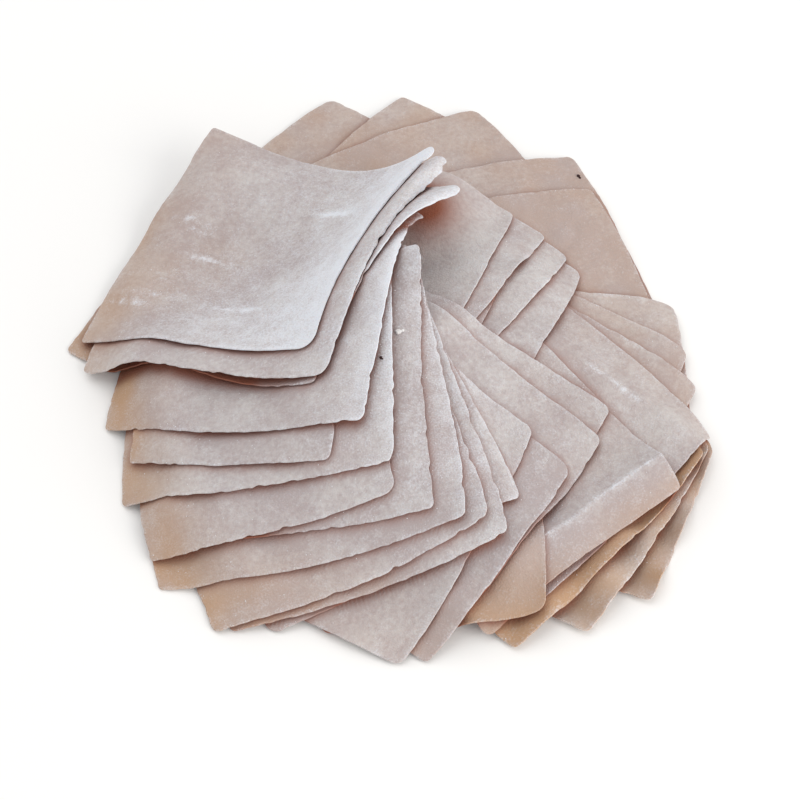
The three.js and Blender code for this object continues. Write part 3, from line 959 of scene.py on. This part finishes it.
# Crumb and specks
# A pale crumb of dough and two dark scorched flakes that have dropped on the stack.
# Each lies loose on the wrapper under it. Places and half widths are in mm.
CRUMB = ((5.6, -21.3, 0.9), (6.8, -20.7, 0.5), (4.7, -20.7, 0.35))
SPECKS = ((0.3, -32.0, 0.5), (0.7, -32.4, 0.3), (69.8, 75.4, 0.6), (70.3, 74.5, 0.45))
CRUMB_WHITE = linear(238, 238, 238)
CRUMB_SHADE = linear(222, 216, 212)
SCORCHED = linear(44, 30, 30)
SCORCHED_SHADE = linear(74, 50, 46)
LUMP_UNEVEN = 0.3
LUMP_FLAT = 0.55
LUMP_SEAT = 0.4


def lumps(name, places, material, seed):
    """Small uneven flattened lumps at these places, lying on the stack as one piece."""
    body = bmesh.new()
    chance = np.random.RandomState(seed)
    for x, y, radius in places:
        made = bmesh.ops.create_icosphere(body, subdivisions=2, radius=radius * MM)["verts"]
        i, j = relief_cells(np.array([x, y]) * MM)
        for vert in made:
            vert.co *= 1 + LUMP_UNEVEN * chance.uniform(-1, 1)
            vert.co.z *= LUMP_FLAT
            vert.co += Vector((x * MM, y * MM, relief[i, j] + LUMP_SEAT * radius * MM))
    mesh = bpy.data.meshes.new(name)
    body.to_mesh(mesh)
    body.free()
    mesh.materials.append(material)
    loose_piece(name, mesh)


crumb_dough = plain_material("dough_crumb", CRUMB_WHITE, roughness=0.9, shade=CRUMB_SHADE, scale=700)
lumps("crumb", CRUMB, crumb_dough, seed=11)
scorched = plain_material("scorched_flake", SCORCHED, roughness=0.8, shade=SCORCHED_SHADE, scale=900)
lumps("specks", SPECKS, scorched, seed=12)

# Floor, light and camera
# A plain pale table top under the lowest wrapper, and the view from above the front.
# Soft light comes from behind on the left and from the front right, under an even sky.
VIEW_TARGET = Vector((6.0, -32.0, 15)) * MM
VIEW_DISTANCE = 500 * MM
VIEW_ELEVATION = math.radians(55)
VIEW_LENS = 72
FLOOR_HALF = 3.0
FLOOR_PALE = linear(246, 244, 241)
SKY_COLOUR = (0.95, 0.97, 1.0, 1)
SKY_STRENGTH = 0.7


def stage_floor():
    """A wide pale floor just under the lowest wrapper."""
    mesh = bpy.data.meshes.new("floor")
    corners = [(x * FLOOR_HALF, y * FLOOR_HALF, 0) for x, y in ((-1, -1), (1, -1), (1, 1), (-1, 1))]
    mesh.from_pydata(corners, [], [(0, 1, 2, 3)])
    material = bpy.data.materials.new("pale_floor")
    material.use_nodes = True
    shader = material.node_tree.nodes["Principled BSDF"]
    shader.inputs["Base Color"].default_value = FLOOR_PALE
    shader.inputs["Roughness"].default_value = 0.9
    mesh.materials.append(material)
    floor = bpy.data.objects.new("floor", mesh)
    bpy.context.scene.collection.objects.link(floor)


def soft_light(name, place, size, power, colour):
    """A square soft box that faces the stack."""
    light = bpy.data.lights.new(name, "AREA")
    light.size = size
    light.energy = power
    light.color = colour
    lamp = bpy.data.objects.new(name, light)
    lamp.location = place
    lamp.rotation_euler = (VIEW_TARGET - Vector(place)).to_track_quat("-Z", "Y").to_euler()
    bpy.context.scene.collection.objects.link(lamp)


stage_floor()
soft_light("key", place=(-0.35, 0.35, 0.85), size=1.2, power=4.1, colour=(1, 0.99, 0.98))
soft_light("fill", place=(0.75, -0.5, 0.45), size=0.8, power=6.2, colour=(1, 0.98, 0.95))
world = bpy.data.worlds.new("studio")
world.use_nodes = True
world.node_tree.nodes["Background"].inputs["Color"].default_value = SKY_COLOUR
world.node_tree.nodes["Background"].inputs["Strength"].default_value = SKY_STRENGTH
bpy.context.scene.world = world
bpy.context.scene.view_settings.view_transform = "Standard"

camera = bpy.data.objects.new("camera", bpy.data.cameras.new("camera"))
camera.data.lens = VIEW_LENS
camera.data.clip_start = 0.01
away = Vector((0, -math.cos(VIEW_ELEVATION), math.sin(VIEW_ELEVATION)))
camera.location = VIEW_TARGET + away * VIEW_DISTANCE
camera.rotation_euler = (-away).to_track_quat("-Z", "Y").to_euler()
bpy.context.scene.collection.objects.link(camera)
bpy.context.scene.camera = camera
